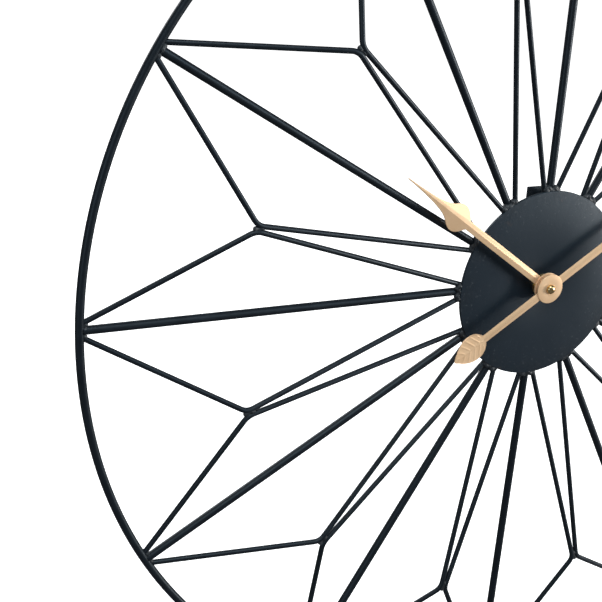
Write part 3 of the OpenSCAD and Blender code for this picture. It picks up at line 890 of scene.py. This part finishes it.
def hand_gold():
    f = Finish("hand_gold")
    cloud = f.noise(150, 4)
    fine = f.noise(1900, 2)
    tone = f.mix(cloud.ramp(0.3, 0.75), GOLD, GOLD_PALE)
    speck = f.noise(700, 2).ramp(0.66, 0.74)
    f.colour(f.mix(speck * 0.35, tone, GOLD_DARK))
    f.put("Metallic", 0.3)
    f.put("Specular IOR Level", 0.4)
    f.put("Roughness", 0.36 + cloud * 0.10)
    f.bump(fine * 0.5 + cloud * 0.8, 0.00003, 0.5)
    return f.material


gold = hand_gold()
print("made", gold.name)

# %% [markdown]
# ## Bosses, and putting the hands together
# Each hand has a round boss pressed on at the axis. A filled circle is extruded and its
# front rim bevelled. Blade, boss and leaf are joined and turned to ten past ten.

# %% Assemble the hands
BOSS_R, BOSS_T, BOSS_RISE = 9.5, 1.15, 0.25
BOSS_ROUND, COLLET_T = 0.22, 0.75


def round_plate(start_y, depth, radius, bore_r, sides):
    """A flat ring, `depth` thick behind start_y."""
    facing = Vector((0, math.copysign(1, start_y), 0))
    made = filled_circle(Vector((0, start_y * MM, 0)), facing, radius * MM, sides)
    bpy.ops.mesh.inset(thickness=(radius - bore_r) * MM)
    bpy.ops.mesh.delete(type="FACE")
    bpy.ops.mesh.select_all(action="SELECT")
    bpy.ops.mesh.extrude_region_move(TRANSFORM_OT_translate={"value": (0, depth * MM, 0)})
    closed()
    place_in_mesh(made)
    return made


def boss(bore_r, collet_r):
    """The round boss at a hand's axis, and the collet behind it."""
    plate = round_plate(-BOSS_RISE, BOSS_T, BOSS_R, bore_r, 72)
    bevel(plate, BOSS_ROUND, 3)
    collet = round_plate(BOSS_T - BOSS_RISE - 0.05, COLLET_T, collet_r, bore_r, 48)
    return [plate, collet]


def assemble(name, parts, which, body, node):
    hand = joined(parts)
    place_in_mesh(hand)
    forward = Matrix.Translation((0, RIDGE_Y[which] * MM, 0))
    hand.data.transform(clock_turn(HAND_TURN[which]) @ forward)
    return done(hand, name, body, "rose_gold", gold, node, smooth=20)


assemble("hour_hand_gold", [hour_blade] + boss(2.5, 3.6), "hour", "hour_body", "hour_hand")
assemble("minute_hand_gold", [minute_blade, leaf] + boss(1.5, 3.0), "minute", "minute_body",
         "minute_hand")
print("the hands show ten past ten")

# %% [markdown]
# ## Finishes for the movement
# The movement's parts are moulded plastic, turned brass, bright steel, rubber, enamelled
# wire and a lacquered board. Each finish is a small node tree on Object coordinates, so
# that its grain keeps its real size on every part.

# %% Metals
BRASS_TONES = rgb(0.62, 0.43, 0.19), rgb(0.72, 0.52, 0.26)


def turned_brass(name, roughness):
    f = Finish(name)
    cloud = f.noise(260, 4)
    rings = f.noise(2600, 2, stretch=(0.15, 1, 0.15))
    f.colour(f.mix(cloud.ramp(0.3, 0.75), *BRASS_TONES))
    f.put("Metallic", 1.0)
    f.put("Roughness", roughness + cloud * 0.08)
    f.bump(rings * 0.7 + cloud * 0.5, 0.00002, 0.5)
    return f.material


def bright_steel(name, tone, roughness, streak=(1, 0.08, 1)):
    f = Finish(name)
    cloud = f.noise(180, 4)
    brushed = f.noise(3000, 2, stretch=streak)
    f.colour(f.mix(cloud.ramp(0.3, 0.75), rgb(*(c * 0.85 for c in tone)), rgb(*tone)))
    f.put("Metallic", 1.0)
    f.put("Roughness", roughness + brushed * 0.14)
    f.bump(brushed, 0.00002, 0.6)
    return f.material


polished_brass = turned_brass("polished_brass", 0.10)
plain_brass = turned_brass("plain_brass", 0.24)
steel = bright_steel("bright_steel", (0.60, 0.60, 0.61), 0.22)
print("metals:", polished_brass.name, plain_brass.name, steel.name)

# %% [markdown]
# ## Plastics, rubber and the small electrics
# Moulded plastic has a fine spark-eroded grain and flow marks that hardly show. Winding
# wire is fine grooves round the coil's own axis, which a stretched wave gives.

# %% Plastics and the rest


def moulded(name, dark, light, roughness, grain_depth):
    f = Finish(name)
    flow = f.noise(45, 3)
    spark = f.noise(2400, 2)
    f.colour(f.mix(flow.ramp(0.25, 0.8) * 0.7 + spark * 0.3, rgb(*dark), rgb(*light)))
    f.put("Roughness", roughness + spark * 0.12 - flow * 0.05)
    f.bump(spark + flow * 0.6, grain_depth, 0.7)
    return f.material


def wound_wire():
    f = Finish("wound_wire")
    x = f.axis("X")
    turns = (x * (math.tau / 0.00022)).math("SINE") * 0.5 + 0.5
    cloud = f.noise(300, 3)
    # the wave also sets the colour: darker in the grooves between turns and lighter on each turn,
    # which is painted shade and painted highlight; the cloud adds random tone
    f.colour(f.mix(turns * 0.6 + cloud * 0.4, rgb(0.20, 0.055, 0.02), rgb(0.62, 0.25, 0.09)))
    f.put("Metallic", 0.8)
    f.put("Roughness", 0.24 + cloud * 0.14)
    f.bump(turns, 0.00006, 0.9)
    return f.material


def board_green():
    f = Finish("board_green")
    weave = (f.axis("X") * 7000).math("SINE") * (f.axis("Z") * 7000).math("SINE") * 0.5 + 0.5
    cloud = f.noise(90, 3)
    tracks = f.noise(260, 0, stretch=(1, 1, 0.12)).ramp(0.53, 0.56)
    f.colour(f.mix(tracks * 0.6 + weave * 0.15, rgb(0.010, 0.075, 0.026), rgb(0.035, 0.17, 0.06)))
    f.put("Roughness", 0.30 + cloud * 0.15)
    f.bump(tracks + weave * 0.25, 0.00003, 0.8)
    return f.material


case_black = moulded("case_black", (0.011, 0.011, 0.012), (0.022, 0.022, 0.024), 0.42, 0.00004)
knob_black = moulded("knob_black", (0.014, 0.014, 0.015), (0.030, 0.030, 0.031), 0.34, 0.00003)
gear_white = moulded("gear_white", (0.66, 0.64, 0.57), (0.80, 0.79, 0.73), 0.32, 0.00002)
rubber = moulded("gasket_rubber", (0.008, 0.008, 0.008), (0.020, 0.020, 0.020), 0.68, 0.00006)
magnet_grey = moulded("magnet_grey", (0.045, 0.045, 0.05), (0.10, 0.10, 0.11), 0.45, 0.00004)
copper = wound_wire()
green = board_green()
FINISHES = {"black_steel": rods_black, "rose_gold": gold, "brass": plain_brass,
            "bare_steel": steel, "black_rubber": rubber, "black_plastic": case_black,
            "white_plastic": gear_white, "copper_wire": copper, "circuit_board": green,
            "magnet": magnet_grey}
print(len(FINISHES), "finishes by slot")

# %% [markdown]
# ## The cap nut
# A small domed nut holds the minute hand on. Its dome is turned, so a profile of a few
# edges is spun about the axis: a straight skirt, a round shoulder and the dome. The two
# ends of the turn are merged, and so is the pole.

# %% Turn the cap nut
WELD_GAP = 0.002 * MM                     # points closer than this become one


def turned_piece(name, profile, steps=64, along=Vector((0, 1, 0)), centre=(0, 0, 0)):
    """Spin a profile of (radius, depth) points in millimetres about an axis through centre."""
    drop_selection()
    bpy.ops.mesh.primitive_circle_add(vertices=max(len(profile), 3), radius=1)
    made = bpy.context.object
    made.name = name
    edit(made)
    bpy.ops.mesh.select_all(action="SELECT")
    bpy.ops.mesh.delete(type="EDGE_FACE")
    leave()
    across = along.orthogonal().normalized()
    for v, (radius, depth) in zip(made.data.vertices, profile):
        v.co = Vector(centre) + across * radius * MM + along * depth * MM
    made.data.edges.add(len(profile) - 1)
    for index in range(len(profile) - 1):
        made.data.edges[-(index + 1)].vertices = (index, index + 1)
    made.data.update()
    edit(made)
    bpy.ops.mesh.select_all(action="SELECT")
    bpy.ops.mesh.spin(steps=steps, angle=math.tau, center=centre, axis=along)
    bpy.ops.mesh.select_all(action="SELECT")
    bpy.ops.mesh.remove_doubles(threshold=WELD_GAP)
    bpy.ops.mesh.normals_make_consistent(inside=False)
    leave()
    return made


nut_low, nut_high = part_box("cap_nut")
NUT_R = nut_high.x / MM
nut_top, nut_seat = nut_low.y / MM, nut_high.y / MM
DOME_R = 1.2 * NUT_R
skirt_y = nut_top + DOME_R - math.sqrt(DOME_R ** 2 - NUT_R ** 2)
dome = [(DOME_R * math.sin(a), nut_top + DOME_R - DOME_R * math.cos(a))
        for a in (math.asin(NUT_R / DOME_R) * k / 12 for k in range(11))]
shoulder = [(NUT_R - 0.06, skirt_y + 0.04), (NUT_R, skirt_y + 0.2)]
foot = [(NUT_R, nut_seat - 0.12), (NUT_R - 0.12, nut_seat), (1.5, nut_seat),
        (1.5, nut_seat - 1.3), (0, nut_seat - 1.3)]
nut_profile = dome + shoulder + foot
cap = turned_piece("cap", nut_profile, 48)
done(cap, "cap_nut_dome", "minute_body", "brass", polished_brass, "cap_nut", smooth=40)
print("cap nut", round(2 * NUT_R, 2), "mm across and", round(nut_seat - nut_top, 2), "mm high")

# %% [markdown]
# ## Softening hard parts
# A part straight from a solid model has edges that no press or mould leaves. A copy of the
# part is merged where its loose triangles meet, and a bevel rounds what is sharp. The
# working part itself is never touched.

# %% Round the edges of copies


def softened(node, name, body, slot, material, width):
    """A copy of a working part with every sharp edge rounded by `width` millimetres."""
    source = frame["nodes"][node]
    drop_selection()
    copy = source.copy()
    copy.data = source.data.copy()
    copy.parent = None
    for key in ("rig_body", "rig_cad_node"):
        if key in copy:
            del copy[key]
    bpy.context.scene.collection.objects.link(copy)
    copy.hide_render = copy.hide_viewport = False
    edit(copy)
    bpy.ops.mesh.select_all(action="SELECT")
    bpy.ops.mesh.remove_doubles(threshold=WELD_GAP)
    bpy.ops.mesh.dissolve_limited(angle_limit=math.radians(1))
    leave()
    bevel(copy, width, 2, sharp=40)
    return done(copy, name, body, slot, material, node, smooth=35)


SOFT = [("hanger_bracket", "hanger_strip", "clock_frame", "black_steel", rods_black, 0.25),
        ("fixing_nut", "hex_nut", "clock_frame", "brass", plain_brass, 0.2),
        ("fixing_washer", "plain_washer", "clock_frame", "brass", plain_brass, 0.12),
        ("rubber_gasket", "gasket_ring", "clock_frame", "black_rubber", rubber, 0.15),
        ("movement_case", "case_shell", "clock_frame", "black_plastic", case_black, 0.3),
        ("movement_cover", "case_back", "clock_frame", "black_plastic", case_black, 0.25),
        ("setting_knob", "setting_wheel", "setting_body", "black_plastic", knob_black, 0.15)]
for node, name, body, slot, material, width in SOFT:
    soft = softened(node, name, body, slot, material, width)
    print(name, len(soft.data.polygons), "faces")

# %% [markdown]
# ## The battery
# One AA cell lies across the bottom of the case, behind no door. Its can is turned like the
# cap nut, with a rolled bead near each end, a plain jacket that stops short of them, and
# the raised button. The jacket has two plain bands instead of any printing.

# %% Turn the cell


def cell_jacket(middle):
    f = Finish("cell_jacket")
    along = f.axis("X")
    foil = f.noise(320, 3, stretch=(0.2, 1, 1))
    band = along.ramp(0.0085, 0.0088)
    bare = (along - middle.x).math("ABSOLUTE").ramp(0.02325, 0.0234)
    jacket = f.mix(band, rgb(0.018, 0.018, 0.020), rgb(0.52, 0.30, 0.13))
    f.colour(f.mix(bare, jacket, rgb(0.62, 0.62, 0.63)))
    f.put("Metallic", band * 0.6 + bare * 0.4)
    f.put("Roughness", 0.22 + foil * 0.14)
    f.bump(foil, 0.00002, 0.5)
    return f.material


cell_low, cell_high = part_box("battery")
cell_middle = (cell_low + cell_high) / 2
CELL_R = (cell_high.z - cell_low.z) / 2 / MM
left, right = cell_low.x / MM, cell_high.x / MM
cell_profile = [(0, left), (5.2, left), (5.6, left + 0.25), (CELL_R - 0.5, left + 0.25),
                (CELL_R, left + 0.8), (CELL_R, left + 1.6), (CELL_R - 0.12, left + 1.75),
                (CELL_R - 0.12, right - 3.4), (CELL_R, right - 3.2), (CELL_R, right - 2.2),
                (CELL_R - 0.5, right - 1.6), (4.2, right - 1.55), (3.6, right - 1.3),
                (2.75, right - 1.2), (2.75, right - 0.25), (2.5, right), (0, right)]
cell = turned_piece("cell", cell_profile, 64, Vector((1, 0, 0)),
                    (0, cell_middle.y, cell_middle.z))
done(cell, "battery_cell", "battery_body", "battery_jacket", cell_jacket(cell_middle), "battery")
print("cell", round(right - left, 1), "mm long,", round(2 * CELL_R, 1), "mm across")

# %% [markdown]
# ## Dress what is left
# The gears, arbors, plates and electrics inside the case are right as they are. They keep
# their shapes and only get the finish of their slot.

# %% Finishes by slot
slots = {part["node"]: part["material_slot"] for part in frame["record"]["subparts"]}
dressed = 0
for node, part in frame["nodes"].items():
    if part.hide_render:
        continue
    part.data.materials.clear()
    part.data.materials.append(FINISHES.get(slots.get(node), steel))
    dressed += 1
print("dressed", dressed, "working parts")
